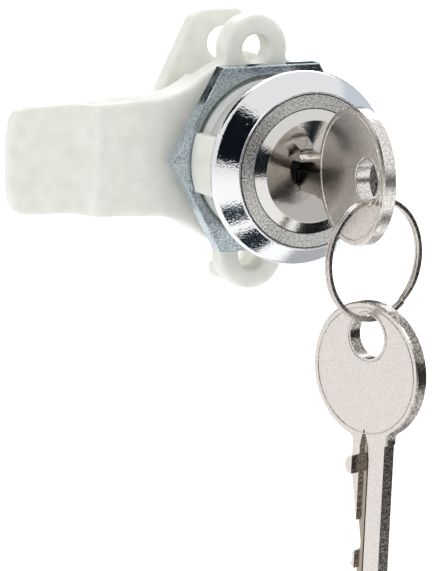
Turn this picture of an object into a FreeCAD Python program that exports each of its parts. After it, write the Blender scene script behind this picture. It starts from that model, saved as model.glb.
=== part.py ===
import FreeCAD, Part
import math
import os

# Cabinet cylinder lock with a key-turned nylon lever, two keys and a split ring.
# Frame: the lock axis is Y, the front faces -Y, Z is up and X is to the right seen from the front.
# The origin is on the lock axis, in the bezel's rear face, where the door panel seats.
# All sizes are in millimetres.

V = FreeCAD.Vector
ORIGIN = V(0, 0, 0)
LOCK_AXIS = V(0, 1, 0)

# General clearances
running_clearance = 0.05
static_clearance = 0.05
part_gap = 0.1

# Bezel, the chrome flange in front of the panel
bezel_cone_width = 3.2
bezel_rim_depth = 1.3
bezel_front_depth = 4.8
bezel_lip_width = 0.3
bezel_recess_depth = 0.5

# Cylinder barrel, the fixed housing of the plug
barrel_radius = 10.7
barrel_flange_width = 1.7
barrel_flange_thickness = 2.2
barrel_ring_width = 2.38
barrel_rib_width = 3.0
barrel_rib_height = 0.9
barrel_rib_length = 8.0
snap_groove_depth = 0.8
wafer_groove_lead = 1.35
wafer_groove_half_width = 3.05

# Nylon neck that fills the panel's hole
neck_wall = 2.35
neck_thread_relief = 0.2
tab_height = 1.3
tab_half_height = 4.8
tab_start = 2.2
tab_nut_gap = 0.2

# Hexagon nut behind the panel
nut_set_back = 0.6
nut_wall = 2.05
nut_thickness = 2.7
nut_countersink = 0.85
nut_edge_break = 0.25

# Snap ring that holds the barrel in the neck
snap_ring_thickness = 1.0
snap_ring_width = 2.2
snap_ring_opening_angle = 50.0
snap_ring_lever_gap = 1.2

# Plug, the part that the key turns
plug_radius = 7.0
plug_head_inset = 0.05
plug_head_depth = 1.7
plug_bevel_width = 1.72
plug_crest_height = 0.8
dish_floor_radius = 2.8
dish_depth = 2.35
recess_depth = 0.9
keyway_end_gap = 0.5
plug_end_wall = 0.4
tail_width = 7.8
tail_length = 3.85
tail_thread_radius = 2.1
tail_thread_depth = 3.9

# Stop disc and the barrel's stop lug limit the turn
turn_angle = 90.0
stop_disc_inset = 0.3
stop_disc_thickness = 0.8
stop_lug_angle = 34.0
stop_lug_centre = -135.0
stop_lug_inner_radius = 8.0
stop_clearance_angle = 1.0

# Key blade and bow
key_thickness = 2.3
bow_radius = 10.9
bow_hole_radius = 3.5
bow_hole_rim = 2.0
bow_centre_depth = 20.45
blade_offset = 1.6
blade_width = 6.4
neck_width = 7.3
blade_shoulder = 14.6
blade_reach = 40.0
blade_tip_width = 2.4
blade_tip_length = 1.9
blade_tip_centre = -0.6
blade_step = 0.5
key_groove_low = 0.1
key_groove_high = 1.9
key_groove_depth = 0.65
key_groove_run = 12.0
back_groove_low = -2.3
back_groove_high = -1.1
back_groove_depth = 0.45
back_groove_run = 11.5
lug_start = 13.5
lug_length = 2.9
lug_width = 1.3
lug_height = 1.76
key_slot_clearance = 0.1
key_edge_round = 0.25
neck_fillet_radius = 1.2

# Wafers, one for each cut in the key
wafer_count = 5
wafer_pitch = 2.3
last_cut_to_tip = 2.8
cut_depths = [1.9, 0.9, 1.4, 0.5, 1.1]
first_ramp_reach = 17.0
cut_flat = 1.15
cut_flank_angle = 50.0
wafer_thickness = 0.9
wafer_width = 5.6
wafer_flush_gap = 0.1
wafer_drop = 0.8
wafer_groove_gap = 0.3
wafer_ear_reach = 1.4
wafer_ear_height = 1.0
wafer_ear_top = 0.4
spring_coil_radius = 0.5
spring_wire_radius = 0.11
spring_turns = 4
spring_sides = 6
spring_length = 3.8

# Nylon lever on the plug's tail
lever_cup_depth = 6.45
lever_bore_gap = 0.6
lever_core_wall = 2.6
lever_disc_rim = 2.1
lever_disc_thickness = 4.1
lever_plate_rim = 1.6
lever_plate_thickness = 2.7
lever_web_thickness = 2.9
lever_rear_recess_radius = 9.6
lever_rear_recess_depth = 2.25
rod_hole_radius = 2.4
rod_hole_stand_off = 3.0
rod_lug_radius = 5.6
hook_notch_radius = 2.6
hook_notch_run = 1.7
hook_mouth_height = 3.3
hook_end = 2.4
hook_top_rise = 5.5
hook_shoulder_x = 6.8
hook_root_x = 13.1
hook_root_z = 9.5
hook_shoulder_radius = 4.0
hook_tip_radius = 1.7

# Tongue, the latch end of the lever
tongue_reach = 42.0
tongue_root_half_height = 9.6
tongue_tip_half_height = 8.6
tongue_tip_x = 40.0
tongue_root_x = 15.0
tongue_root_thickness = 6.0
tongue_tip_thickness = 2.2
joggle_start_x = 28.0
joggle_end_x = 31.0
tongue_corner_radius = 2.75
tongue_flare_radius = 15.0
tongue_web_end_x = 9.6
tongue_wall = 2.2
tongue_rib_width = 1.8
tongue_core_set_back = 1.4

# Screw and washer that hold the lever on the tail
cam_washer_radius = 7.2
cam_washer_thickness = 1.2
cam_screw_shank_radius = 2.05
cam_screw_head_radius = 4.4
cam_screw_head_height = 2.4
cam_screw_head_bevel = 0.5
cam_screw_socket_across_flats = 3.0
cam_screw_socket_depth = 1.5

# Split key ring of flat wire, wound twice
ring_radius = 9.45
ring_wire_radial = 0.8
ring_wire_axial = 0.5
ring_turn_gap = 0.1
ring_turns = 2
ring_yaw = 14.0
ring_end_angle = -50.0
ring_seat_gap = 0.35
ring_side_shift = 0.35

# Hang of the spare key
spare_yaw = 20.0
spare_tilt = 2.0

# Sizes across the lock axis that follow from the ones above
barrel_flange_radius = barrel_radius + barrel_flange_width
bezel_seat_radius = barrel_flange_radius + static_clearance
bezel_radius = bezel_seat_radius + bezel_cone_width
plug_head_radius = barrel_flange_radius - barrel_ring_width - running_clearance
plug_bevel_radius = plug_head_radius - plug_bevel_width
snap_groove_radius = barrel_radius - snap_groove_depth
stop_disc_radius = barrel_radius - stop_disc_inset
neck_radius = barrel_radius + static_clearance + neck_wall
neck_thread_radius = neck_radius - neck_thread_relief
nut_bore = neck_thread_radius + running_clearance
nut_across_flats = 2 * (nut_bore + nut_wall)
tab_radius = neck_radius + tab_height
lever_bore_radius = barrel_radius + lever_bore_gap
lever_core_radius = lever_bore_radius + lever_core_wall
lever_disc_radius = lever_core_radius + lever_disc_rim
lever_plate_radius = lever_core_radius + lever_plate_rim
rod_hole_offset = lever_core_radius + rod_hole_stand_off
hook_top = rod_hole_offset + hook_top_rise
tongue_core_start_x = lever_disc_radius + tongue_core_set_back
wafer_radius = plug_radius - wafer_flush_gap
wafer_lift = max(cut_depths)
wafer_groove_radius = wafer_radius + wafer_lift + wafer_groove_gap
spring_x = wafer_width / 2 + wafer_ear_reach / 2

# Depths of the bezel and the plug's head
bezel_front = -bezel_front_depth
barrel_flange_back = bezel_front + barrel_flange_thickness
plug_head_front = bezel_front + plug_head_inset
plug_shoulder = plug_head_front + plug_head_depth
plug_crest = plug_head_front - plug_crest_height
dish_floor = plug_crest + dish_depth
recess_floor = dish_floor + recess_depth

# Depths that follow the key's blade
bow_y = -bow_centre_depth
bow_z = blade_offset
hole_y = bow_y - bow_radius + bow_hole_rim + bow_hole_radius
half_blade = blade_width / 2
half_thickness = key_thickness / 2
blade_tip_y = bow_y + blade_reach
keyway_end = blade_tip_y + keyway_end_gap
plug_rear = keyway_end + plug_end_wall
barrel_end = plug_rear - running_clearance
tail_end = plug_rear + tail_length
wafer_slot = wafer_thickness + part_gap
last_wafer_y = blade_tip_y - last_cut_to_tip
wafer_positions = [last_wafer_y - i * wafer_pitch for i in reversed(range(wafer_count))]
wafer_groove_start = wafer_positions[0] - wafer_groove_lead

# Depths of the lever, the nut and what lies between them
stop_disc_front = plug_rear + static_clearance
web_front = stop_disc_front + stop_disc_thickness + static_clearance
web_rear = web_front + lever_web_thickness
lever_front = web_front - lever_cup_depth
lever_rear = web_rear + lever_rear_recess_depth
tongue_rear = lever_front + tongue_root_thickness
tongue_tip_front = tongue_rear - tongue_tip_thickness
snap_ring_rear = lever_front - snap_ring_lever_gap
snap_ring_front = snap_ring_rear - snap_ring_thickness
groove_front = snap_ring_front - static_clearance
neck_end = groove_front - static_clearance
nut_rear = neck_end - nut_set_back
nut_front = nut_rear - nut_thickness

# Hang of the split ring and the spare key
ring_pitch = ring_wire_axial + ring_turn_gap
ring_top_z = bow_z - bow_hole_radius + ring_wire_radial / 2 + ring_seat_gap
ring_centre_z = ring_top_z - ring_radius
ring_bottom_z = ring_centre_z - ring_radius
spare_hole_z = ring_bottom_z + ring_wire_radial / 2 + ring_seat_gap - bow_hole_radius


def cylinder(radius, start, end, x=0, z=0):
    """Solid cylinder along the lock axis between two depths."""
    return Part.makeCylinder(radius, end - start, V(x, start, z), LOCK_AXIS)


def tube(outer, inner, start, end):
    return cylinder(outer, start, end).cut(cylinder(inner, start - 1, end + 1))


def block(x0, x1, y0, y1, z0, z1):
    return Part.makeBox(x1 - x0, y1 - y0, z1 - z0, V(x0, y0, z0))


def turned(profile):
    """Solid of revolution about the lock axis from (radius, depth) corners."""
    points = [V(r, y, 0) for r, y in profile]
    face = Part.Face(Part.makePolygon(points + [points[0]]))
    return face.revolve(ORIGIN, LOCK_AXIS, 360)


def plate(outline, start, end):
    """Flat plate from (x, z) corners, standing across the lock axis."""
    points = [V(x, start, z) for x, z in outline]
    face = Part.Face(Part.makePolygon(points + [points[0]]))
    return face.extrude(V(0, end - start, 0))


def sector(radius, start, end, centre_angle, width_angle):
    """Pie slice across the lock axis; angles run from +X towards +Z."""
    solid = Part.makeCylinder(radius, end - start, ORIGIN, V(0, 0, 1), width_angle)
    solid.rotate(ORIGIN, V(0, 0, 1), centre_angle - width_angle / 2)
    solid.rotate(ORIGIN, V(1, 0, 0), 90)
    solid.translate(V(0, end, 0))
    return solid


def turn_about_axis(shape, angle):
    copy = shape.copy()
    copy.rotate(ORIGIN, LOCK_AXIS, angle)
    return copy


def hexagon(across_flats, start, end):
    corner = across_flats / math.sqrt(3)
    angles = [math.radians(60 * i) for i in range(6)]
    return plate([(corner * math.cos(a), corner * math.sin(a)) for a in angles], start, end)


def make_bezel():
    """Chrome cone with a flat rim, a seat for the barrel's flange and a recess for the neck behind."""
    bore = barrel_radius + static_clearance
    recess = neck_radius + static_clearance
    profile = [
        (bore, -bezel_recess_depth),
        (recess, -bezel_recess_depth),
        (recess, 0),
        (bezel_radius, 0),
        (bezel_radius, -bezel_rim_depth),
        (bezel_seat_radius + bezel_lip_width, bezel_front),
        (bezel_seat_radius, bezel_front),
        (bezel_seat_radius, barrel_flange_back),
        (bore, barrel_flange_back),
    ]
    return turned(profile).cut(barrel_ribs(part_gap))


def barrel_ribs(gap):
    """Two ribs on the barrel that keep it from turning in the bezel and the neck."""
    half = barrel_rib_width / 2 + gap
    reach = barrel_radius + barrel_rib_height + gap
    start = barrel_flange_back - gap
    end = barrel_rib_length + gap
    bar = block(-half, half, start, end, -reach, reach)
    return bar.common(cylinder(reach, start, end))


def wafer_grooves():
    """Locking grooves in the barrel, for the plug's two key positions."""
    half = wafer_groove_half_width
    reach = wafer_groove_radius
    upright = block(-half, half, wafer_groove_start, barrel_end + 1, -reach, reach)
    upright = upright.common(cylinder(reach, wafer_groove_start, barrel_end + 1))
    return upright.fuse(turn_about_axis(upright, turn_angle))


def stop_lug():
    """Raised pad on the barrel's rear end, between the ends of the stop disc's gap."""
    end = barrel_end + stop_disc_thickness
    slice_ = sector(barrel_radius, barrel_end - 0.5, end, stop_lug_centre, stop_lug_angle)
    return slice_.cut(cylinder(stop_lug_inner_radius, barrel_end - 1, end + 1))


def make_barrel():
    """Fixed housing: a flange behind the bezel's edge, a stepped bore and a groove for the snap ring."""
    groove_back = snap_ring_rear + static_clearance
    profile = [
        (plug_radius + running_clearance, barrel_end),
        (plug_radius + running_clearance, plug_shoulder + running_clearance),
        (plug_head_radius + running_clearance, plug_shoulder + running_clearance),
        (plug_head_radius + running_clearance, bezel_front),
        (barrel_flange_radius, bezel_front),
        (barrel_flange_radius, barrel_flange_back),
        (barrel_radius, barrel_flange_back),
        (barrel_radius, groove_front),
        (snap_groove_radius, groove_front),
        (snap_groove_radius, groove_back),
        (barrel_radius, groove_back),
        (barrel_radius, barrel_end),
    ]
    barrel = turned(profile)
    ribs = barrel_ribs(0).cut(cylinder(barrel_radius - 0.5, -20, 20))
    barrel = barrel.fuse(ribs).cut(wafer_grooves())
    return barrel.fuse(stop_lug()).removeSplitter()


def make_neck():
    """Nylon sleeve with a tab that keeps the lock from turning in the panel."""
    front = static_clearance - bezel_recess_depth
    sleeve = cylinder(neck_radius, front, nut_front)
    sleeve = sleeve.fuse(cylinder(neck_thread_radius, nut_front, neck_end))
    tab = block(-tab_radius, 0, tab_start, nut_front - tab_nut_gap, -tab_half_height, tab_half_height)
    tab = tab.common(cylinder(tab_radius, 0, nut_front))
    sleeve = sleeve.fuse(tab)
    sleeve = sleeve.cut(cylinder(barrel_radius + static_clearance, front - 1, neck_end + 1))
    return sleeve.cut(barrel_ribs(part_gap)).removeSplitter()


def make_nut():
    """Thin hexagon nut with broken outer edges and a countersunk bore."""
    corner = nut_across_flats / math.sqrt(3)
    nut = hexagon(nut_across_flats, nut_front, nut_rear).cut(cylinder(nut_bore, nut_front - 1, nut_rear + 1))
    outline = [edge for edge in nut.Edges if isinstance(edge.Curve, Part.Line)]
    outline = [edge for edge in outline if abs(edge.Length - corner) < 1e-3]
    nut = nut.makeChamfer(nut_edge_break, outline)
    wide = nut_bore + nut_countersink
    front = Part.makeCone(wide, nut_bore, nut_countersink, V(0, nut_front, 0), LOCK_AXIS)
    back = Part.makeCone(nut_bore, wide, nut_countersink, V(0, nut_rear - nut_countersink, 0), LOCK_AXIS)
    return nut.cut(front).cut(back)


def make_snap_ring():
    """Flat open ring in the barrel's groove, behind the neck."""
    inner = snap_groove_radius + static_clearance
    outer = inner + snap_ring_width
    ring = tube(outer, inner, snap_ring_front, snap_ring_rear)
    return ring.cut(sector(outer + 1, snap_ring_front - 1, snap_ring_rear + 1, -90, snap_ring_opening_angle))


def keyway():
    """Slot for the blade, with wards that fill the key's grooves, and a notch for the key's lug."""
    side = half_thickness + key_slot_clearance
    height = half_blade + key_slot_clearance
    slot = block(-side, side, plug_crest - 1, keyway_end, -height, height)
    ward_x = half_thickness - key_groove_depth + key_slot_clearance
    ward = block(-side - 1, -ward_x, plug_crest - 1, keyway_end + 1,
                 key_groove_low + key_slot_clearance, key_groove_high - key_slot_clearance)
    back_x = half_thickness - back_groove_depth + key_slot_clearance
    back_ward = block(back_x, side + 1, plug_crest - 1, keyway_end + 1,
                      back_groove_low + key_slot_clearance, back_groove_high - key_slot_clearance)
    slot = slot.cut(ward).cut(back_ward)
    lug_end = bow_y + lug_start + lug_length + key_slot_clearance
    notch = block(-half_thickness - lug_height - key_slot_clearance, 0, plug_crest - 1, lug_end,
                  half_blade - lug_width - key_slot_clearance, height)
    return slot.fuse(notch)


def spring_side(index):
    """Ears and springs lie on alternate sides of the plug."""
    return 1 if index % 2 == 0 else -1


def wafer_slot_shape(index):
    """Room in the plug for one wafer, its ear and its spring."""
    y = wafer_positions[index]
    half_slot = wafer_slot / 2
    half_width = wafer_width / 2 + part_gap / 2
    slot = block(-half_width, half_width, y - half_slot, y + half_slot, -plug_radius - 1, plug_radius + 1)
    pocket_half = spring_coil_radius + spring_wire_radius + part_gap / 2
    side = spring_side(index)
    low = wafer_ear_top - wafer_ear_height - wafer_drop - part_gap
    high = wafer_ear_top + part_gap + spring_length
    inner = side * (wafer_width / 2 - part_gap)
    outer = side * (wafer_width / 2 + wafer_ear_reach + part_gap)
    pocket = block(min(inner, outer), max(inner, outer), y - pocket_half, y + pocket_half, low, high)
    return slot.fuse(pocket)


def make_plug():
    profile = [
        (0, plug_rear),
        (plug_radius, plug_rear),
        (plug_radius, plug_shoulder),
        (plug_head_radius, plug_shoulder),
        (plug_head_radius, plug_head_front),
        (plug_bevel_radius, plug_crest),
        (dish_floor_radius, dish_floor),
        (dish_floor_radius, recess_floor),
        (0, recess_floor),
    ]
    half_tail = tail_width / 2
    plug = turned(profile)
    tail = block(-half_tail, half_tail, plug_rear - 0.5, tail_end, -half_tail, half_tail)
    plug = plug.fuse(tail.common(cylinder(plug_radius - 1.6, plug_rear - 1, tail_end + 1)))
    plug = plug.cut(keyway())
    for index in range(wafer_count):
        plug = plug.cut(wafer_slot_shape(index))
    return plug.cut(cylinder(tail_thread_radius, tail_end - tail_thread_depth, tail_end + 1))


def cut_floor(index):
    """Height of one key cut above the blade's middle."""
    return half_blade - cut_depths[index]


def make_wafer(index):
    """Brass wafer with a window for the key and an ear for its spring."""
    y = wafer_positions[index]
    half = wafer_thickness / 2
    half_width = wafer_width / 2
    body = block(-half_width, half_width, y - half, y + half, -wafer_radius, wafer_radius)
    body = body.common(cylinder(wafer_radius, y - half, y + half))
    window_side = half_thickness + 2 * key_slot_clearance
    window_low = -half_blade - wafer_lift - key_slot_clearance
    window = block(-window_side, window_side, y - 1, y + 1, window_low, cut_floor(index) + static_clearance)
    side = spring_side(index)
    inner = side * (half_width - 0.5)
    outer = side * (half_width + wafer_ear_reach)
    ear = block(min(inner, outer), max(inner, outer), y - half, y + half,
                wafer_ear_top - wafer_ear_height, wafer_ear_top)
    return body.fuse(ear).cut(window).removeSplitter()


def square_wire(radius, half_radial, half_axial):
    """Outline of a flat wire's section, standing at this radius from the Z axis."""
    corners = [(1, 1), (-1, 1), (-1, -1), (1, -1)]
    points = [V(radius + x * half_radial, 0, z * half_axial) for x, z in corners]
    return Part.makePolygon(points + [points[0]])


def wound_wire(section, pitch, turns, radius):
    """Wire of a given section swept along a helix that climbs the Z axis from (radius, 0, 0)."""
    path = Part.makeHelix(pitch, pitch * turns, radius)
    return path.makePipeShell([section], True, True)


def make_wafer_spring(index):
    """Coil spring between a wafer's ear and the roof of its pocket, in straight runs of square wire."""
    climb = (spring_length - 2 * spring_wire_radius) / (spring_turns * spring_sides)
    step = 360 / spring_sides
    sections = []
    for corner in range(spring_turns * spring_sides + 1):
        section = square_wire(spring_coil_radius, spring_wire_radius, spring_wire_radius)
        section.rotate(ORIGIN, V(0, 0, 1), corner * step)
        section.translate(V(0, 0, corner * climb))
        sections.append(section)
    spring = Part.makeLoft(sections, True, True)
    low = wafer_ear_top + part_gap / 2 + spring_wire_radius
    spring.translate(V(spring_side(index) * spring_x, wafer_positions[index], low))
    return spring


def make_stop_disc():
    """Steel disc on the plug's square tail, with a gap that the barrel's stop lug limits."""
    end = stop_disc_front + stop_disc_thickness
    half = tail_width / 2 + part_gap
    disc = cylinder(stop_disc_radius, stop_disc_front, end)
    disc = disc.cut(block(-half, half, stop_disc_front - 1, end + 1, -half, half))
    gap_angle = turn_angle + stop_lug_angle + 2 * stop_clearance_angle
    gap_centre = stop_lug_centre + turn_angle / 2
    gap = sector(stop_disc_radius + 1, stop_disc_front - 1, end + 1, gap_centre, gap_angle)
    return disc.cut(gap.cut(cylinder(stop_lug_inner_radius - 0.3, stop_disc_front - 2, end + 2)))


def straight_edges(shape, length, test):
    """Straight edges of this length whose middle passes a test."""
    found = []
    for edge in shape.Edges:
        if isinstance(edge.Curve, Part.Line) and abs(edge.Length - length) < 1e-6:
            if test(edge.CenterOfMass):
                found.append(edge)
    return found


def hook_arm():
    """Rear hook over a rod hole, open on one side so that a rod's pin snaps in."""
    thickness = lever_plate_thickness
    outline = [
        (-hook_root_x, hook_root_z),
        (-hook_shoulder_x, hook_top),
        (hook_end, hook_top),
        (hook_end, rod_hole_offset + hook_notch_radius),
        (0, rod_hole_offset),
        (0, 0),
    ]
    arm = plate(outline, lever_rear - thickness, lever_rear)
    shoulder = straight_edges(arm, thickness, lambda middle: middle.z > hook_top - 0.1 and middle.x < 0)
    arm = arm.makeFillet(hook_shoulder_radius, shoulder)
    tip = straight_edges(arm, thickness, lambda middle: middle.z > hook_top - 0.1 and middle.x > 0)
    return arm.makeFillet(hook_tip_radius, tip)


def hook_mouth():
    """Notch for the rod's pin, its rounded throat and its snap-in mouth."""
    start = lever_rear - lever_plate_thickness - 1
    end = lever_rear + 1
    top = rod_hole_offset + hook_notch_radius
    bottom = rod_hole_offset - hook_notch_radius
    seat = cylinder(hook_notch_radius, start, end, z=rod_hole_offset)
    throat = cylinder(hook_notch_radius, start, end, x=-hook_notch_run, z=rod_hole_offset)
    between = block(-hook_notch_run, 0, start, end, bottom, top)
    mouth = block(0, hook_end + lever_plate_radius, start, end, top - hook_mouth_height, top)
    return seat.fuse(throat).fuse(between).fuse(mouth)


def tongue_outline(start, end, inset=0):
    """Tapered latch tongue to the left, with its end on an arc about the lock axis."""
    slope = (tongue_root_half_height - tongue_tip_half_height) / (tongue_tip_x - tongue_root_x)
    outer_x = tongue_reach + 1
    inner_half = tongue_root_half_height + slope * tongue_root_x - inset
    outer_half = tongue_tip_half_height - slope * (outer_x - tongue_tip_x) - inset
    wedge = plate([(0, inner_half), (-outer_x, outer_half), (-outer_x, -outer_half), (0, -inner_half)],
                  start, end)
    return wedge.common(cylinder(tongue_reach - inset, start, end))


def tongue_joggle():
    """Room in front of the tongue's end, behind a sloping step in its front face."""
    tall = 3 * tongue_root_half_height
    past = tongue_reach + 1
    low = -tall / 2
    corners = [
        V(-joggle_start_x, lever_front, low),
        V(-joggle_end_x, tongue_tip_front, low),
        V(-past, tongue_tip_front, low),
        V(-past, lever_front - 1, low),
        V(-joggle_start_x, lever_front - 1, low),
    ]
    return Part.Face(Part.makePolygon(corners + [corners[0]])).extrude(V(0, 0, tall))


def tongue_cores():
    """Two pockets from the rear that leave even walls and a middle rib."""
    floor = lever_front + tongue_wall
    pocket = tongue_outline(floor, tongue_rear + 1, inset=tongue_wall)
    reach = joggle_start_x - tongue_wall / 2
    pocket = pocket.common(block(-reach, -tongue_core_start_x, floor, tongue_rear + 1, -20, 20))
    half_rib = tongue_rib_width / 2
    return pocket.cut(block(-reach, 0, floor - 1, tongue_rear + 2, -half_rib, half_rib))


def make_tongue():
    """Tongue with a stepped front, a flare into the hub's rim and a cored rear."""
    depth = tongue_rear - lever_front
    rim = lever_disc_radius
    body = tongue_outline(lever_front, tongue_rear)
    tips = straight_edges(body, depth, lambda middle: middle.x < -joggle_end_x)
    body = body.makeFillet(tongue_corner_radius, tips)
    body = body.fuse(cylinder(rim, lever_front, tongue_rear)).removeSplitter()
    roots = straight_edges(body, depth, lambda middle: -rim < middle.x < 0 and abs(middle.z) < rim)
    body = body.makeFillet(tongue_flare_radius, roots)
    disc_end = lever_front + lever_disc_thickness
    behind = block(-tongue_web_end_x, rim + 1, disc_end, tongue_rear + 1, -rim - 1, rim + 1)
    return body.cut(behind).cut(tongue_joggle()).cut(tongue_cores())


def make_lever():
    """One nylon moulding: hub cup, rod lugs in front, snap hooks behind and the latch tongue."""
    disc_end = lever_front + lever_disc_thickness
    plate_start = lever_rear - lever_plate_thickness
    lever = make_tongue().fuse(cylinder(lever_disc_radius, lever_front, disc_end))
    for side in (1, -1):
        lug = cylinder(rod_lug_radius, lever_front, disc_end, z=side * rod_hole_offset)
        lever = lever.fuse(lug)
    lever = lever.fuse(cylinder(lever_core_radius, disc_end, plate_start))
    lever = lever.fuse(cylinder(lever_plate_radius, plate_start, lever_rear))
    arm = hook_arm()
    mouth = hook_mouth()
    lever = lever.fuse(arm).fuse(turn_about_axis(arm, 180))
    lever = lever.cut(mouth).cut(turn_about_axis(mouth, 180))
    for side in (1, -1):
        lever = lever.cut(cylinder(rod_hole_radius, lever_front - 1, disc_end + 1, z=side * rod_hole_offset))
    half = tail_width / 2 + part_gap
    lever = lever.cut(cylinder(lever_bore_radius, lever_front - 1, web_front))
    lever = lever.cut(block(-half, half, web_front - 1, web_rear + 1, -half, half))
    lever = lever.cut(cylinder(lever_rear_recess_radius, web_rear, lever_rear + 1))
    return lever.removeSplitter()


def make_cam_washer():
    start = max(web_rear, tail_end) + static_clearance
    return tube(cam_washer_radius, cam_screw_shank_radius + part_gap, start, start + cam_washer_thickness)


def make_cam_screw():
    seat = max(web_rear, tail_end) + 2 * static_clearance + cam_washer_thickness
    head_end = seat + cam_screw_head_height
    bevel = cam_screw_head_bevel
    shank_start = tail_end - tail_thread_depth + part_gap
    screw = turned([
        (0, shank_start),
        (cam_screw_shank_radius, shank_start),
        (cam_screw_shank_radius, seat),
        (cam_screw_head_radius, seat),
        (cam_screw_head_radius, head_end - bevel),
        (cam_screw_head_radius - bevel, head_end),
        (0, head_end),
    ])
    socket = hexagon(cam_screw_socket_across_flats, head_end - cam_screw_socket_depth, head_end + 1)
    return screw.cut(socket).removeSplitter()


def blade_outline():
    """Side view of the uncut blade as (y, z) corners: wide neck, shoulders and a pointed tip."""
    shoulder_y = bow_y + blade_shoulder
    half_neck = neck_width / 2
    start_y = bow_y + bow_radius / 2
    tip_y = blade_tip_y - blade_tip_length
    return [
        (start_y, half_neck),
        (shoulder_y - blade_step, half_neck),
        (shoulder_y, half_blade),
        (tip_y, half_blade),
        (blade_tip_y, blade_tip_centre + blade_tip_width / 2),
        (blade_tip_y, blade_tip_centre - blade_tip_width / 2),
        (tip_y, -half_blade),
        (shoulder_y, -half_blade),
        (shoulder_y - blade_step, -half_neck),
        (start_y, -half_neck),
    ]


def cut_tool(index):
    """Cutter for one cut in the blade's upper edge: a flat floor and two sloping flanks."""
    y = wafer_positions[index]
    floor = cut_floor(index)
    rise = cut_depths[index]
    run = rise / math.tan(math.radians(cut_flank_angle))
    side = half_thickness + 1
    near = y - cut_flat / 2 - run
    if index == 0:
        near = bow_y + first_ramp_reach
    far = y + cut_flat / 2 + run
    corners = [
        V(-side, y - cut_flat / 2, floor),
        V(-side, y + cut_flat / 2, floor),
        V(-side, far, half_blade),
        V(-side, far, half_blade + 1),
        V(-side, near, half_blade + 1),
        V(-side, near, half_blade),
    ]
    return Part.Face(Part.makePolygon(corners + [corners[0]])).extrude(V(2 * side, 0, 0))


def groove_tool(face_side, low, high, depth, run):
    """Milled groove along the blade's side that ends in a point on the bow."""
    start = bow_y + run
    point_length = high - low
    middle = (low + high) / 2
    end = blade_tip_y + 1
    corners = [V(0, start - point_length, middle), V(0, start, high), V(0, end, high), V(0, end, low),
               V(0, start, low), V(0, start - point_length, middle)]
    face = Part.Face(Part.makePolygon(corners))
    tool = face.extrude(V(face_side * 2, 0, 0))
    tool.translate(V(face_side * (half_thickness - depth), 0, 0))
    return tool


def make_key():
    """Flat key in its place in the lock: round bow, milled blade, cuts on top and a side lug."""
    bow = Part.makeCylinder(bow_radius, key_thickness, V(-half_thickness, bow_y, bow_z), V(1, 0, 0))
    corners = [V(-half_thickness, y, z) for y, z in blade_outline()]
    blade = Part.Face(Part.makePolygon(corners + [corners[0]])).extrude(V(key_thickness, 0, 0))
    for index in range(wafer_count):
        blade = blade.cut(cut_tool(index))
    key = bow.fuse(blade).removeSplitter()
    junction = straight_edges(key, key_thickness, lambda middle: middle.y < bow_y + bow_radius)
    key = key.makeFillet(neck_fillet_radius, junction)
    hole = Part.makeCylinder(bow_hole_radius, key_thickness + 2, V(-half_thickness - 1, hole_y, bow_z), V(1, 0, 0))
    key = key.cut(hole)
    outline = []
    for edge in key.Edges:
        if isinstance(edge.Curve, Part.Circle) and edge.Curve.Radius > bow_radius - 0.01:
            outline.append(edge)
    key = key.makeChamfer(key_edge_round, outline)
    key = key.cut(groove_tool(-1, key_groove_low, key_groove_high, key_groove_depth, key_groove_run))
    key = key.cut(groove_tool(1, back_groove_low, back_groove_high, back_groove_depth, back_groove_run))
    lug_y = bow_y + lug_start
    lug = block(-half_thickness - lug_height, 0, lug_y, lug_y + lug_length, half_blade - lug_width, half_blade)
    return key.fuse(lug).removeSplitter()


def make_key_ring():
    """Split ring: two turns of flat wire, hanging in the hole of the inserted key."""
    section = square_wire(ring_radius, ring_wire_radial / 2, ring_wire_axial / 2)
    ring = wound_wire(section, ring_pitch, ring_turns, ring_radius)
    ring.translate(V(0, 0, -ring_pitch * ring_turns / 2))
    ring.rotate(ORIGIN, V(0, 0, 1), ring_end_angle)
    ring.rotate(ORIGIN, V(1, 0, 0), 90)
    ring.rotate(ORIGIN, V(0, 0, 1), ring_yaw)
    ring.translate(V(ring_side_shift, hole_y, ring_centre_z))
    return ring


def make_spare_key():
    """The second key, hanging blade down from the bottom of the split ring."""
    spare = make_key()
    spare.translate(V(0, -hole_y, -bow_z))
    spare.rotate(ORIGIN, V(1, 0, 0), -90)
    spare.rotate(ORIGIN, V(1, 0, 0), spare_tilt)
    spare.rotate(ORIGIN, V(0, 0, 1), spare_yaw)
    spare.translate(V(ring_side_shift, hole_y, spare_hole_z))
    return spare


def build_parts():
    """Every sub-part by its node name."""
    parts = {
        "bezel": make_bezel(),
        "cylinder_barrel": make_barrel(),
        "panel_neck": make_neck(),
        "hex_nut": make_nut(),
        "snap_ring": make_snap_ring(),
        "plug": make_plug(),
        "stop_disc": make_stop_disc(),
        "lever": make_lever(),
        "cam_washer": make_cam_washer(),
        "cam_screw": make_cam_screw(),
        "key_in_lock": make_key(),
        "key_ring": make_key_ring(),
        "spare_key": make_spare_key(),
    }
    for index in range(wafer_count):
        parts[f"wafer_{index + 1}"] = make_wafer(index)
        parts[f"wafer_spring_{index + 1}"] = make_wafer_spring(index)
    return parts


os.makedirs("parts", exist_ok=True)
for name, shape in build_parts().items():
    solids = len(shape.Solids)
    print(name, "solids", solids, "valid", shape.isValid(), "volume", round(shape.Volume, 2))
    shape.exportStep(f"parts/{name}.step")
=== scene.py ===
# %% [markdown]
# # A cabinet cylinder lock, dressed for the camera
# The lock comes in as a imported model: every piece already has its true size and place, and this
# lesson only gives the pieces their surfaces. Where a turned or wound piece has a form that a
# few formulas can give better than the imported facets, a new surface takes its place. The lock's
# sizes are in millimetres and become metres where a mesh or a material is made. The cards, the
# lamps and the camera stand in the room, and their places are in metres.

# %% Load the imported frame
import bpy
import numpy as np
from mathutils import Matrix, Vector


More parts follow.
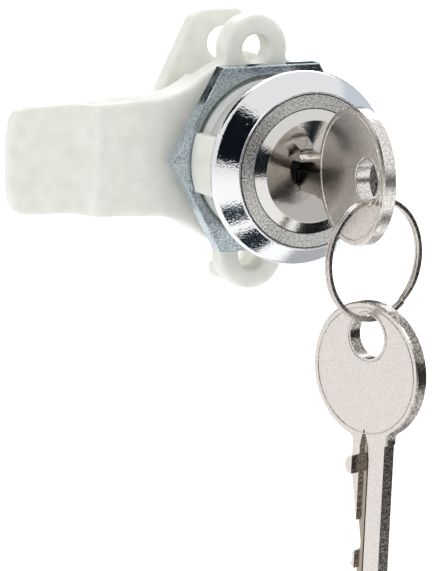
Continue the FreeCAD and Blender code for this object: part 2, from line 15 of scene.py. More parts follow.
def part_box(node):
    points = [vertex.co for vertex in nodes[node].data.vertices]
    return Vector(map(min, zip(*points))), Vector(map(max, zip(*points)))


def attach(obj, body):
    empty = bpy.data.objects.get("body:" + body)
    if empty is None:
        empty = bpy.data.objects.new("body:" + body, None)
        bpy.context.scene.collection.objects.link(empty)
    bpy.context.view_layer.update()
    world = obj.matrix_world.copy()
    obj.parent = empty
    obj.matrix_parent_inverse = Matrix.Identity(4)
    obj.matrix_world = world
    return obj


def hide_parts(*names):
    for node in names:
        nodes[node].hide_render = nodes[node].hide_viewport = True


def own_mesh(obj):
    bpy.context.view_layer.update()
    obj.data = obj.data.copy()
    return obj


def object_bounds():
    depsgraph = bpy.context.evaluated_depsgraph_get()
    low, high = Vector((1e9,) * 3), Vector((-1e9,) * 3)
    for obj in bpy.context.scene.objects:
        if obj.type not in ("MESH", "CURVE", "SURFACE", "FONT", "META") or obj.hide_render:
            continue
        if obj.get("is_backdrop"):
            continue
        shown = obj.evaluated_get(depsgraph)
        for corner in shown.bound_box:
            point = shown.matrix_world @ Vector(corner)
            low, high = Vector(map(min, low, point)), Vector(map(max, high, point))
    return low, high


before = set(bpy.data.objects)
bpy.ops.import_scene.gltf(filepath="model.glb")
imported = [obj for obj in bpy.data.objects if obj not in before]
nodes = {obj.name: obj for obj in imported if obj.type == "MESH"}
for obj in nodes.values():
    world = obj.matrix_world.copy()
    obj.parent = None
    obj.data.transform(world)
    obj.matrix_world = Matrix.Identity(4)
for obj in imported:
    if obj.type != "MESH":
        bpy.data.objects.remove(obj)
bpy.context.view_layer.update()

mm = 0.001

# %% [markdown]
# ## From numbers to a mesh
# Most pieces of a lock are turned, wound or pressed, so each can be written as a sheet of points
# with two directions, rows and columns. Blender's own primitives could start such a piece too,
# but a sheet of points keeps every radius in sight. One function turns any sheet into a mesh,
# and it uses the enclosed volume to find out which side is the outside.

# %% A sheet of points becomes a closed mesh
def sheet_mesh(name, sheet, rows_close=True, capped=False):
    """Joins point (i, j) to its neighbours (i + 1, j) and (i, j + 1).

    Columns always run round and meet their start. Rows meet their start too, or each end row
    becomes one flat face. The sum of a . (b x c) / 6 over all triangles is the enclosed volume:
    where it comes out negative, the faces are turned over.
    """
    rows, columns = sheet.shape[:2]
    index = np.arange(rows * columns).reshape(rows, columns)
    index = np.hstack([index, index[:, :1]])
    if rows_close:
        index = np.vstack([index, index[:1]])
    quads = np.stack([index[:-1, :-1], index[1:, :-1], index[1:, 1:], index[:-1, 1:]], axis=-1).reshape(-1, 4)
    points = sheet.reshape(-1, 3)
    a, b, c, d = points[quads].transpose(1, 0, 2)
    volume = (a * np.cross(b, c) + a * np.cross(c, d)).sum() / 6
    faces = quads.tolist()
    if capped:
        for loop in (index[0, :-1], index[-1, :-1][::-1]):
            first, others = points[loop[0]], points[loop[1:]]
            volume += (first * np.cross(others[:-1], others[1:])).sum() / 6
            faces.append(loop.tolist())
    if volume < 0:
        faces = [face[::-1] for face in faces]
    mesh = bpy.data.meshes.new(name)
    mesh.from_pydata((points * mm).tolist(), [], faces)
    mesh.shade_smooth()
    piece = bpy.data.objects.new(name, mesh)
    bpy.context.scene.collection.objects.link(piece)
    print(name, len(faces), "faces, about", round(abs(volume), 1), "cubic mm")
    return piece


# %% [markdown]
# ## Corners that catch the light
# A machined or plated corner is never perfectly sharp, and the thin bright line along it is what
# tells the eye that a piece is metal. A bevel modifier could add it afterwards. Here the outline
# itself gets eased corners, so each corner has its own size.

# %% Ease the corners of an outline
def eased(corners, sizes, steps=5):
    """Replaces each corner C by the curve (1 - t)^2 A + 2 t (1 - t) C + t^2 B.

    A and B lie on the two sides that meet in C, one size away from it, and never past 0.4 of a
    side. One more point on each side, a little further out, keeps the flat part flat.
    """
    corners = np.asarray(corners, float)
    sizes = np.broadcast_to(np.asarray(sizes, float), len(corners))
    before = np.roll(corners, 1, axis=0) - corners
    after = np.roll(corners, -1, axis=0) - corners
    length_before = np.linalg.norm(before, axis=1, keepdims=True)
    length_after = np.linalg.norm(after, axis=1, keepdims=True)
    reach = np.minimum(sizes[:, None], 0.4 * np.minimum(length_before, length_after))
    before, after = before / length_before * reach, after / length_after * reach
    t = np.linspace(0, 1, steps)[None, :, None]
    a, b, c = corners + before, corners + after, corners
    curve = (1 - t) ** 2 * a[:, None] + 2 * t * (1 - t) * c[:, None] + t ** 2 * b[:, None]
    held = [(corners + 1.2 * before)[:, None], curve, (corners + 1.2 * after)[:, None]]
    return np.concatenate(held, axis=1).reshape(-1, 2)


def round_the_axis(radius, depth, angle):
    """Points at x = radius x cos a, y = depth and z = radius x sin a, as a sheet of three columns."""
    return np.stack([radius * np.cos(angle), depth + 0 * angle, radius * np.sin(angle)], axis=-1)


def turned(name, outline, columns=240):
    """Carries each outline point (radius, depth) once round the lock's axis."""
    angle = np.linspace(0, 2 * np.pi, columns, endpoint=False)
    return sheet_mesh(name, round_the_axis(outline[:, :1], outline[:, 1:], angle))


# %% [markdown]
# ## The bezel
# The bezel is the chromed cone in front of the cabinet door. On the real lock it is a die casting
# that is polished and plated, which rounds its rim more than its thin front lip. It is a lathe
# form, so its outline is carried once round the axis, with a large ease at the rim.

# %% Bezel
barrel_bore, flange_seat, neck_seat = 10.75, 12.45, 13.15
lip_radius, rim_radius = 12.75, 15.65
bezel_front, flange_back, rim_front, recess = -4.8, -2.6, -1.3, -0.5
fine = 0.05
bezel_corners = [(barrel_bore, recess), (neck_seat, recess), (neck_seat, 0), (rim_radius, 0),
                 (rim_radius, rim_front), (lip_radius, bezel_front), (flange_seat, bezel_front),
                 (flange_seat, flange_back), (barrel_bore, flange_back)]
bezel_eases = [fine, fine, fine, 0.45, 0.55, 0.12, 0.1, fine, fine]
bezel = turned("bezel_chrome_cone", eased(bezel_corners, bezel_eases))
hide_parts("bezel")
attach(bezel, "lock_case")

# %% [markdown]
# ## The nylon neck
# The neck fills the hole in the door. It is one moulding with a tab on its left that keeps the
# lock from turning, a collar in front with a shallow relief behind it, and a thread at its rear
# for the nut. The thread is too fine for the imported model, so it is worked out here: the radius
# falls and rises once for each pitch along the axis, and a full turn moves the pattern on by one
# pitch, which is what makes it a screw. The sleeve takes the place of the whole moulding, so its
# tab is made again as a second piece.

# %% Neck with its thread
neck_radius, thread_crest, thread_depth, thread_pitch = 13.1, 12.9, 0.55, 1.5
neck_front, grip, neck_end = -0.45, 9.3, 12.6
collar_end, relief_radius = 6.6, 12.7
thread_rows, wall_middle = 48, 12.5


def threaded_sleeve(name):
    """Sleeve with a collar in front, a relief behind it and a screw thread at its rear.

    The crest radius is lowered by thread depth x g. Here g = 1.6 (1 - |2 f - 1|) - 0.3, held
    between 0 and 1, which gives flat crests and roots, and f is the fraction of a pitch that
    y / pitch - angle / full turn has gone through. The lowering fades in over half a pitch, and
    only outside the middle of the wall, so the bore stays round.
    """
    angle = np.linspace(0, 2 * np.pi, 240, endpoint=False)
    bore = [(neck_radius, neck_front), (barrel_bore, neck_front),
            (barrel_bore, neck_end), (thread_crest, neck_end)]
    front = eased(bore, [0.1, 0.1, 0.2, 0.25])
    thread_y = np.linspace(neck_end - 0.35, grip + 0.1, thread_rows)
    thread = np.stack([np.full(thread_rows, thread_crest), thread_y], axis=1)
    step = [(thread_crest, grip), (relief_radius, grip - 0.1), (relief_radius, collar_end + 0.15)]
    shank = eased(step + [(neck_radius, collar_end)], [0, 0.05, 0.12, 0.12])
    outline = np.concatenate([front, thread, shank])
    radius, depth = outline[:, :1], outline[:, 1:]
    fraction = np.mod(depth / thread_pitch - angle / (2 * np.pi), 1)
    groove = np.clip(1.6 * (1 - np.abs(2 * fraction - 1)) - 0.3, 0, 1)
    fade = np.clip((depth - grip - 0.1) / (0.5 * thread_pitch), 0, 1) * (radius > wall_middle)
    radius = radius - thread_depth * groove * fade
    return sheet_mesh(name, round_the_axis(radius, depth, angle))


neck = threaded_sleeve("neck_sleeve")
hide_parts("panel_neck")
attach(neck, "lock_case")

# %% Tab against turning
tab_root, tab_radius, tab_front, tab_rear = 12.6, 14.4, 2.2, 9.1


def neck_tab(name, half_height=4.8, ease=0.3):
    """Carries the tab's outline (radius, depth) across from -half_height to +half_height in z.

    Every point keeps its radius, so x = -sqrt(r^2 - z^2), and near both ends the outline shrinks
    towards its middle along a quarter circle, which rounds the last edges.
    """
    corners = [(tab_root, tab_front), (tab_radius, tab_front),
               (tab_radius, tab_rear), (tab_root, tab_rear)]
    outline = eased(corners, [0.05, ease, ease, 0.05])
    end = half_height - ease * (1 - np.cos(np.linspace(0, np.pi / 2, 6)))
    z = np.concatenate([-end, np.linspace(-end[-1], end[-1], 14)[1:-1], end[::-1]])
    past = np.clip((np.abs(z) - (half_height - ease)) / ease, 0, 1)
    inset = ease * (1 - np.sqrt(1 - past ** 2))
    middle = outline.mean(axis=0)
    half = np.ptp(outline, axis=0) / 2
    shrunk = middle + (outline - middle)[None] * (1 - inset[:, None, None] / half)
    radius, depth = shrunk[..., 0], shrunk[..., 1]
    x = -np.sqrt(radius ** 2 - z[:, None] ** 2)
    sheet = np.stack([x, depth, z[:, None] + 0 * depth], axis=-1)
    return sheet_mesh(name, sheet, rows_close=False, capped=True)


tab = neck_tab("neck_tab")
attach(tab, "lock_case")

# %% [markdown]
# ## The nut
# A thin hexagon nut clamps the door between itself and the bezel. A hexagon is a circle whose
# radius is divided by the cosine of the angle from the nearest flat's middle, so the nut can be
# turned like the other pieces, with that factor fading in from the round bore to the flats.

# %% Hexagon nut
def hexagon_nut(name, apothem=15.0, bore=12.95, sink=0.85, front=grip, rear=12.0):
    """Turned ring whose outer radius is divided by cos(angle from the nearest flat's middle)."""
    wide = bore + sink
    corners = [(bore, front + sink), (wide, front), (apothem, front),
               (apothem, rear), (wide, rear), (bore, rear - sink)]
    outline = eased(corners, [0.1, 0.08, 0.2, 0.2, 0.08, 0.1])
    sector = np.concatenate([[0, 0.3, 0.8, 2], np.linspace(5, 55, 11), [58, 59.2, 59.7]])
    angle = np.radians((np.arange(6)[:, None] * 60 + sector).ravel())
    factor = 1 / np.cos(np.mod(angle, np.pi / 3) - np.pi / 6)
    radius, depth = outline[:, :1], outline[:, 1:]
    share = np.clip((radius - wide) / (apothem - 0.3 - wide), 0, 1)
    radius = radius * (1 + share * (factor - 1))
    return sheet_mesh(name, round_the_axis(radius, depth, angle))


nut = hexagon_nut("panel_nut")
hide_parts("hex_nut")
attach(nut, "lock_case")

# %% [markdown]
# ## The split ring
# A split ring is flat wire wound twice. Each turn lies flat, and the wire steps from one turn to
# the other in a short jog, which is where a key is slipped on. A torus with a line drawn on it
# would pass from afar, but only a wire with two ends shows the jog and the cut end.

# %% Split ring
ring_radius, wire_radial, wire_axial, turn_step, seat_gap = 9.45, 0.8, 0.5, 0.56, 0.35
hole_depth, hole_height, hole_radius, side_shift = -25.85, 1.6, 3.5, 0.35
ring_top = hole_height - hole_radius + wire_radial / 2 + seat_gap
ring_centre = np.array([side_shift, hole_depth, ring_top - ring_radius])


def split_ring(name, yaw=14.0, end_angle=-50.0, jog=28.0, rows=420):
    """Carries an eased rectangle along two turns of a circle.

    At angle a the wire's middle is at R (cos a, sin a), and its offset along the ring's axis goes
    from -step / 2 to +step / 2 by the smooth rise 3 s^2 - 2 s^3 while a passes the jog. The ring
    is then stood upright, turned by its yaw and hung in the key's hole.
    """
    a = np.linspace(0, 4 * np.pi, rows)
    rise = np.clip((a - 2 * np.pi) / np.radians(2 * jog) + 0.5, 0, 1)
    offset = turn_step * (3 * rise ** 2 - 2 * rise ** 3 - 0.5)
    half_r, half_w = wire_radial / 2, wire_axial / 2
    corners = [(-half_r, -half_w), (half_r, -half_w), (half_r, half_w), (-half_r, half_w)]
    section = eased(corners, 0.13, steps=4)
    radius = ring_radius + section[None, :, 0]
    turn = a[:, None] + np.radians(end_angle)
    x, z = radius * np.cos(turn), radius * np.sin(turn)
    y = -(offset[:, None] + section[None, :, 1])
    c, s = np.cos(np.radians(yaw)), np.sin(np.radians(yaw))
    sheet = np.stack([x * c - y * s, x * s + y * c, z], axis=-1) + ring_centre
    return sheet_mesh(name, sheet, rows_close=False, capped=True)


ring = split_ring("split_ring_wire")
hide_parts("key_ring")
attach(ring, "split_ring")

# %% [markdown]
# ## The coined border of the keys
# Both keys are stamped, and a fine bead is coined round the bow and round its hole. The bead is
# about a tenth of a millimetre high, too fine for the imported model. Here it is a thin ring, sunk to
# its middle in each face. Both keys are the same key, so one function makes the four beads of a key
# and another carries them to where the key is.

# %% Beads on the bows
bow_radius, bow_centre, hole_offset, key_half = 10.9, -20.45, 5.4, 1.15
border_inset, border_width, rim_offset, rim_width, bead_height = 0.95, 0.24, 0.42, 0.3, 0.12
spare_tilt, spare_yaw = 2.0, 20.0


def bead_ring(radius, width, height, side, columns=160):
    """Ring on one face: radius + width / 2 x cos p across it, and height x sin p out of it."""
    p = np.linspace(0, 2 * np.pi, 12, endpoint=False)[:, None]
    a = np.linspace(0, 2 * np.pi, columns, endpoint=False)
    r = radius + width / 2 * np.cos(p)
    out = side * (key_half + height * np.sin(p))
    return np.stack([out + 0 * a, r * np.cos(a), r * np.sin(a)], axis=-1)


def key_beads(name, carry):
    """Border and hole rim on both faces of one key, joined into one mesh."""
    made = []
    for side in (-1, 1):
        for radius, centre, width in ((bow_radius - border_inset, bow_centre, border_width),
                                      (hole_radius + rim_offset, bow_centre - hole_offset, rim_width)):
            sheet = bead_ring(radius, width, bead_height, side) + np.array([0, centre, hole_height])
            made.append(sheet_mesh(name, carry(sheet)))
    with bpy.context.temp_override(active_object=made[0], selected_editable_objects=made):
        bpy.ops.object.join()
    return made[0]


def in_the_lock(points):
    """The inserted key is already where the frame has it."""
    return points


def on_the_ring(points, tilt=spare_tilt, yaw=spare_yaw):
    """Hangs the key by its hole: a quarter turn down and the tilt about X, then the yaw about Z."""
    x, y, z = (points - np.array([0, hole_depth, hole_height])).transpose(2, 0, 1)
    angle = np.radians(tilt - 90)
    y, z = y * np.cos(angle) - z * np.sin(angle), y * np.sin(angle) + z * np.cos(angle)
    c, s = np.cos(np.radians(yaw)), np.sin(np.radians(yaw))
    hole_z = ring_centre[2] - ring_radius + wire_radial / 2 + seat_gap - hole_radius
    hole = np.array([side_shift, hole_depth, hole_z])
    return np.stack([x * c - y * s, x * s + y * c, z], axis=-1) + hole


beads = key_beads("key_border_in_lock", in_the_lock)
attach(beads, "inserted_key")
spare_beads = key_beads("key_border_spare", on_the_ring)
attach(spare_beads, "hanging_key")

# %% [markdown]
# ## The milled blade
# A key's blade is milled after stamping: a broad flat groove that runs out in a long point towards
# the bow, and a fine slit along its edge. The lug beside it has a rounded end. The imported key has
# the plain forms, so a copy of it is milled further with cutters, as the real one is. Each cutter
# is an outline seen from the key's side, carried through part of its thickness.

# %% Cutters and milled keys
groove_depth, slit_depth, lug_skim = 0.42, 1.05, 0.02
lug_middle, half_length, lug_top, round_height = 14.95, 1.46, 3.22, 1.25
lug_margin, past_lug = 0.5, 3.9
merge_mm, sharp_from, flat_from = 0.002, 30, 0.98


def cutter(name, outline, low, high):
    """Carries an outline through the key's thickness, from x = low to x = high.

    Its points hold a distance from the bow's centre and a height above the lock's axis.
    """
    outline = np.asarray(outline, float) + np.array([bow_centre, 0])
    sides = [np.column_stack([np.full(len(outline), x), outline]) for x in (low, high)]
    return sheet_mesh(name, np.stack(sides), rows_close=False, capped=True)


def lug_arc():
    """Half an ellipse: the lug's middle + half length x sin a, its top - round x (1 - cos a)."""
    a = np.linspace(-np.pi / 2, np.pi / 2, 17)
    height = lug_top - round_height * (1 - np.cos(a))
    return np.column_stack([lug_middle + half_length * np.sin(a), height])


def milled_key(node, name):
    """Copy of a packed key with its groove, slit, straight back and rounded lug milled in.

    A cut keeps the material slot of its tool: the slit's walls take the second one and everything
    else takes the first. Faces whose normal lies along the thickness are shaded flat, and the rest
    smooth.
    """
    arc = lug_arc()
    half = len(arc) // 2
    middle, start, end = arc[half, 0], arc[0, 0] - lug_margin, arc[-1, 0] + lug_margin
    near = np.vstack([arc[:half + 1], [(middle, past_lug), (start, past_lug), (start, arc[0, 1])]])
    far = np.vstack([arc[half:], [(end, arc[-1, 1]), (end, past_lug), (middle, past_lug)]])
    groove = [(9.2, 1.2), (11.5, 0.35), (14.0, 0.0), (42, 0.0), (42, 1.88), (12.5, 1.88), (11.0, 1.7)]
    slit = [(9.3, 1.12), (11.5, 0.25), (14.0, -0.1), (42, -0.1), (42, 0.75), (14.0, 0.75), (11.5, 0.9)]
    back = [(11.3, -3.2), (16.0, -3.2), (16.0, -4.2), (10.9, -4.2)]
    tools = [cutter("groove_cutter", groove, -3 * key_half, -key_half + groove_depth),
             cutter("slit_cutter", slit, -3 * key_half, -key_half + slit_depth),
             cutter("back_cutter", back, -2 * key_half, 2 * key_half),
             cutter("lug_cutter_near", near, -3 * key_half, -key_half - lug_skim),
             cutter("lug_cutter_far", far, -3 * key_half, -key_half - lug_skim)]
    piece = bpy.data.objects.new(name, nodes[node].data.copy())
    bpy.context.scene.collection.objects.link(piece)
    if "custom_normal" in piece.data.attributes:
        piece.data.attributes.remove(piece.data.attributes["custom_normal"])
    for mesh in [piece.data] + [tool.data for tool in tools]:
        mesh.materials.clear()
        mesh.materials.append(None)
        mesh.materials.append(None)
    slit_faces = tools[1].data.polygons
    slit_faces.foreach_set("material_index", np.ones(len(slit_faces), np.int32))
    merge = piece.modifiers.new("merge", "WELD")
    merge.merge_threshold = merge_mm * mm
    for tool in tools:
        cut = piece.modifiers.new(tool.name, "BOOLEAN")
        cut.operation, cut.solver, cut.object = "DIFFERENCE", "EXACT", tool
    depsgraph = bpy.context.evaluated_depsgraph_get()
    mesh = bpy.data.meshes.new_from_object(piece.evaluated_get(depsgraph))
    piece.modifiers.clear()
    piece.data = mesh
    mesh.set_sharp_from_angle(angle=np.radians(sharp_from))
    normals = np.empty(3 * len(mesh.polygons), np.float32)
    mesh.polygons.foreach_get("normal", normals)
    mesh.polygons.foreach_set("use_smooth", np.abs(normals[::3]) < flat_from)
    for tool in tools:
        bpy.data.objects.remove(tool)
    print(name, len(mesh.polygons), "faces")
    return piece


def carried_copy(piece, name, carry):
    """The same mesh with each point taken to its new place."""
    mesh = piece.data.copy()
    points = np.empty(3 * len(mesh.vertices), np.float32)
    mesh.vertices.foreach_get("co", points)
    moved = carry(points.reshape(-1, 1, 3).astype(float) / mm) * mm
    mesh.vertices.foreach_set("co", moved.ravel().astype(np.float32))
    mesh.update()
    copy = bpy.data.objects.new(name, mesh)
    bpy.context.scene.collection.objects.link(copy)
    print(name, len(mesh.polygons), "faces")
    return copy


key = milled_key("key_in_lock", "milled_key")
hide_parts("key_in_lock")
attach(key, "inserted_key")
spare = carried_copy(key, "milled_spare_key", on_the_ring)
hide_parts("spare_key")
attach(spare, "hanging_key")

# %% [markdown]
# ## Wafer springs
# Each wafer is pushed down by a small coil spring above its ear. On the real lock the spring's top
# stays in the plug and its foot follows the wafer, so the spring flattens as the wafer is lifted. Here
# each coil is wound once between the top and the foot of the imported spring.

# %% Wafer springs
wafer_lifts = (1.9, 0.9, 1.4, 0.5, 1.1)


def coil(name, middle, low, high, turns=4, wire=0.22, coil_radius=0.5, steps=28, sides=8):
    """Carries a circle along a helix.

    The wire's middle is at R (cos t, sin t), where R is the coil's radius. It climbs evenly from
    one wire radius above the foot to one below the top while t makes the turns.
    """
    t = np.linspace(0, 2 * np.pi * turns, steps * turns + 1)[:, None]
    p = np.linspace(0, 2 * np.pi, sides, endpoint=False)
    radius = coil_radius + wire / 2 * np.cos(p)
    climb = low + wire / 2 + (high - low - wire) * t / t[-1]
    sheet = np.stack([radius * np.cos(t), radius * np.sin(t), climb + wire / 2 * np.sin(p)], axis=-1)
    return sheet_mesh(name, sheet + np.array([middle[0], middle[1], 0]), rows_close=False, capped=True)


springs = []
for number, lift in enumerate(wafer_lifts, start=1):
    low, high = (np.array(corner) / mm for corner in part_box(f"wafer_spring_{number}"))
    middle = (low + high) / 2
    spring = coil(f"wafer_coil_{number}", middle, low[2], high[2])
    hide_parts(f"wafer_spring_{number}")
    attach(spring, "plug_and_lever")
    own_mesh(spring)
    springs.append(spring)

# %% [markdown]
# ## The moulded lever
# The lever is one nylon moulding, and nylon shrinks and flows so that none of its edges is sharp.
# Its form is too free for one formula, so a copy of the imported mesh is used. Its loose triangles
# are merged, a voxel remesh gives it an even skin, and a few rounds of smoothing melt the edges.

# %% Lever with melted edges
def softened_copy(node, name, voxel, rounds):
    """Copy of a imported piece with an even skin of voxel-sized faces and smoothed edges."""
    piece = bpy.data.objects.new(name, nodes[node].data.copy())
    bpy.context.scene.collection.objects.link(piece)
    merge = piece.modifiers.new("merge", "WELD")
    merge.merge_threshold = merge_mm * mm
    skin = piece.modifiers.new("skin", "REMESH")
    skin.mode, skin.voxel_size, skin.use_smooth_shade = "VOXEL", voxel * mm, True
    melt = piece.modifiers.new("melt", "SMOOTH")
    melt.factor, melt.iterations = 0.5, rounds
    depsgraph = bpy.context.evaluated_depsgraph_get()
    mesh = bpy.data.meshes.new_from_object(piece.evaluated_get(depsgraph))
    piece.modifiers.clear()
    piece.data = mesh
    mesh.shade_smooth()
    print(name, len(mesh.polygons), "faces")
    return piece


lever = softened_copy("lever", "nylon_lever", voxel=0.36, rounds=5)
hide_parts("lever")
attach(lever, "plug_and_lever")

# %% [markdown]
# ## Describing a finish
# A material starts from its real name and how its surface was made. One function turns a colour
# from the usual hex form into the linear values that light adds up in, one gives a pattern's
# scale from its size in millimetres, and one adds a node with its settings and links.
#
# In the picture a millimetre is about six pixels wide, and the grain of plated and turned metal
# is a few hundredths of a millimetre, too fine to show. So the grains of metal below are drawn
# between 0.24 and 0.4 mm wide, as coarse as they need to be to show.

# %% Helpers for materials
def linear(hex_colour, alpha=1.0):
    """sRGB hex to linear: c / 12.92 in the dark, ((c + 0.055) / 1.055) ^ 2.4 above."""
    c = np.array([int(hex_colour[i:i + 2], 16) for i in (0, 2, 4)]) / 255
    c = np.where(c <= 0.04045, c / 12.92, ((c + 0.055) / 1.055) ** 2.4)
    return (*c.tolist(), alpha)


def per_metre(size_mm):
    """Pattern scale for a feature of this size: how many fit in a metre."""
    return 1 / (size_mm * mm)


def add_node(tree, kind, inputs=None, links=None, **settings):
    """Adds a node, sets its properties and input values, and links other nodes' outputs into it."""
    node = tree.nodes.new(kind)
    for name, value in settings.items():
        setattr(node, name, value)
    for name, value in (inputs or {}).items():
        node.inputs[name].default_value = value
    for name, (other, output) in (links or {}).items():
        tree.links.new(other.outputs[output], node.inputs[name])
    return node


def new_finish(name, **values):
    """Material with one surface shader whose fixed values sit on its own sockets."""
    material = bpy.data.materials.new(name)
    material.use_nodes = True
    tree = material.node_tree
    tree.nodes.clear()
    inputs = {socket.replace("_", " "): value for socket, value in values.items()}
    shader = add_node(tree, "ShaderNodeBsdfPrincipled", inputs)
    add_node(tree, "ShaderNodeOutputMaterial", links={"Surface": (shader, "BSDF")})
    print("finish", name)
    return material, tree, shader


def two_tones(tree, factor, low, high):
    """Mixes two tones by a factor; each tone is a hex colour or the mix that another call made."""
    mix = add_node(tree, "ShaderNodeMix", data_type="RGBA", links={"Factor": factor})
    for socket, tone in ((6, low), (7, high)):
        if isinstance(tone, str):
            mix.inputs[socket].default_value = linear(tone)
        else:
            tree.links.new(tone.outputs[2], mix.inputs[socket])
    return mix


def grainy(tree, shader, size_mm, depth_mm, colours=None, roughness=None, detail=3.0):
    """Lays one noise over a surface: its height as bump, and its tone and shine between two limits.

    The noise has this feature size on Object coordinates. Its values crowd round one half, so only
    their middle third is used for tone and shine, spread over the whole range. The caller gets
    the spread grain and the bump back, to build on.
    """
    place = add_node(tree, "ShaderNodeTexCoord")
    noise = add_node(tree, "ShaderNodeTexNoise", {"Scale": per_metre(size_mm), "Detail": detail},
                     {"Vector": (place, "Object")})
    height = (noise, "Fac")
    grain = add_node(tree, "ShaderNodeMapRange", {"From Min": 0.33, "From Max": 0.67}, {"Value": height})
    bump = add_node(tree, "ShaderNodeBump", {"Strength": 1.0, "Distance": depth_mm * mm}, {"Height": height})
    tree.links.new(bump.outputs["Normal"], shader.inputs["Normal"])
    if colours:
        tone = two_tones(tree, (grain, "Result"), *colours)
        tree.links.new(tone.outputs[2], shader.inputs["Base Color"])
    if roughness:
        shine = add_node(tree, "ShaderNodeMapRange", {"To Min": roughness[0], "To Max": roughness[1]},
                         {"Value": (grain, "Result")})
        tree.links.new(shine.outputs["Result"], shader.inputs["Roughness"])
    return grain, bump


def from_axis(tree):
    """Distance of a surface point from the lock's axis: the length of its (x, 0, z)."""
    place = add_node(tree, "ShaderNodeTexCoord")
    across = add_node(tree, "ShaderNodeVectorMath", {1: (1.0, 0.0, 1.0)}, {0: (place, "Object")},
                      operation="MULTIPLY")
    return add_node(tree, "ShaderNodeVectorMath", links={0: (across, "Vector")}, operation="LENGTH")


def between(tree, value, start_mm, end_mm):
    """Rises from 0 to 1 while a length in the material goes from one size to another."""
    limits = {"From Min": start_mm * mm, "From Max": end_mm * mm}
    return add_node(tree, "ShaderNodeMapRange", limits, {"Value": value})


# %% [markdown]
# ## Chrome on die-cast zinc
# Decorative chrome is a thin hard film over polished nickel. It is almost a mirror, a little cold
# in colour, and a casting keeps a faint orange peel that breaks up the edges of what it reflects.

# %% Polished chrome
chrome, tree, shader = new_finish("chrome_plated_die_cast_zinc", Base_Color=linear("F0F1F3"),
                                  Metallic=1.0, Roughness=0.07)
grainy(tree, shader, 0.36, 0.03, roughness=(0.03, 0.1), detail=2.0)

# %% [markdown]
# ## The plug's face
# The plug is plated with the same chrome. Its dish is toned a little darker and its keyway
# nearly black, which is painted shade in these hollows. The distance from the lock's axis
# tells the bevel, the dish and the keyway apart, so one material does for the whole plug.

# %% Chrome with painted shade in its hollows
plug_chrome, tree, shader = new_finish("chrome_plated_plug", Metallic=1.0)
grainy(tree, shader, 0.3, 0.014, roughness=(0.05, 0.15))
radius = (from_axis(tree), "Value")
# Painted shade: the dish is toned darker and the keyway nearly black, for the shade in these hollows.
dish_shade = between(tree, radius, 8.3, 8.0)
keyway_shade = between(tree, radius, 3.1, 2.7)
face = two_tones(tree, (dish_shade, "Result"), "E2E0DD", "BFBBB6")
tone = two_tones(tree, (keyway_shade, "Result"), face, "34373A")
tree.links.new(tone.outputs[2], shader.inputs["Base Color"])

# %% [markdown]
# ## Turned nickel face
# The barrel's front edge was turned and then only nickel plated, so it looks like fine grey sand
# next to the chrome. On the real lock it is a shallow cone. The imported ring is flat, and a bump
# that rises towards the axis only shades it like a cone. A dark band along each of its edges is
# painted shade, for the shade that falls into the gap there.

# %% Sandy nickel
turned_nickel, tree, shader = new_finish("turned_nickel_plated_zinc", Metallic=1.0)
grain, bump = grainy(tree, shader, 0.3, 0.026, roughness=(0.22, 0.42))
cone_rim, cone_slope = 12.4, 0.25
radius = (from_axis(tree), "Value")
rise = add_node(tree, "ShaderNodeMath", {0: cone_rim * mm}, {1: radius}, operation="SUBTRACT")
cone = add_node(tree, "ShaderNodeBump", {"Strength": 1.0, "Distance": cone_slope},
                {"Height": (rise, "Value")})
tree.links.new(cone.outputs["Normal"], bump.inputs["Normal"])
# Painted shade: a dark band along each edge of the ring stands for the shade in the gaps beside it.
outer = between(tree, radius, 12.2, 12.34)
inner = between(tree, radius, 10.2, 10.08)
gap_shade = add_node(tree, "ShaderNodeMath", links={0: (outer, "Result"), 1: (inner, "Result")},
                operation="MAXIMUM")
sand = two_tones(tree, (grain, "Result"), "8A8884", "EFEEEC")
tone = two_tones(tree, (gap_shade, "Value"), sand, "2B2D30")
tree.links.new(tone.outputs[2], shader.inputs["Base Color"])

# %% [markdown]
# ## Natural nylon
# Natural nylon is milky: light goes in, scatters for a millimetre or two and comes out a little
# yellow in the deep places. The mould leaves a soft shine with a shallow unevenness.

# %% Moulded nylon
nylon, tree, shader = new_finish("natural_nylon_moulded", Base_Color=linear("EAEAE0"), Roughness=0.42,
                                 Subsurface_Weight=0.5, Subsurface_Radius=(1.0, 0.95, 0.75),
                                 Subsurface_Scale=2.2 * mm, IOR=1.53)
grainy(tree, shader, 2.4, 0.02, colours=("E2E3DC", "EBEBE6"), roughness=(0.36, 0.48), detail=4.0)

# %% [markdown]
# ## Blue zinc plate
# The nut and the small steel parts are barrel plated with zinc and passivated, which gives a
# bluish, slightly cloudy metal with the fine rub marks of parts that tumbled on each other. A
# second, broad noise bends the reflections as the nut's uneven faces do.

# %% Blue zinc plate
zinc_plate, tree, shader = new_finish("blue_zinc_plated_steel", Metallic=1.0)
bump = grainy(tree, shader, 0.24, 0.02, colours=("8294A2", "E2EAEE"), roughness=(0.12, 0.26))[1]
wave_size, wave_depth = 7, 0.9
place = add_node(tree, "ShaderNodeTexCoord")
wave = add_node(tree, "ShaderNodeTexNoise", {"Scale": per_metre(wave_size), "Detail": 1.0},
                {"Vector": (place, "Object")})
broad = add_node(tree, "ShaderNodeBump", {"Strength": 1.0, "Distance": wave_depth * mm},
                 {"Height": (wave, "Fac")})
tree.links.new(broad.outputs["Normal"], bump.inputs["Normal"])
